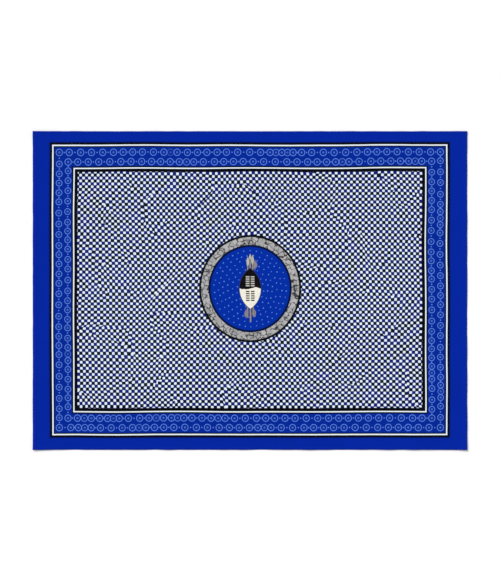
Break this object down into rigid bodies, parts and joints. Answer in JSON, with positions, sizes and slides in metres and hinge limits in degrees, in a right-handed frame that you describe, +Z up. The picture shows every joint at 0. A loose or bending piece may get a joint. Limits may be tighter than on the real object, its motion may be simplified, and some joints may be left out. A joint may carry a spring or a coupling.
{
  "type": "kanga",
  "caption": "Rectangular printed cotton wrap cloth lying flat, with turned hems on its short ends, a ringed border, a checked field and a round centre.",
  "frame": {"origin": "centre of the underside, on the surface that the cloth lies on", "axes": "+X along the cloth's length, from hem to hem; +Y across it, from selvedge to selvedge; +Z up, out of the printed face"},
  "size_m": [1.5, 1.1, 0.0023],
  "materials": {
    "printed_cotton": "plain-woven cotton, printed, matt"
  },
  "bodies": {
    "root": {"kanga_cloth": "printed_cotton"}
  },
  "joints": []
}
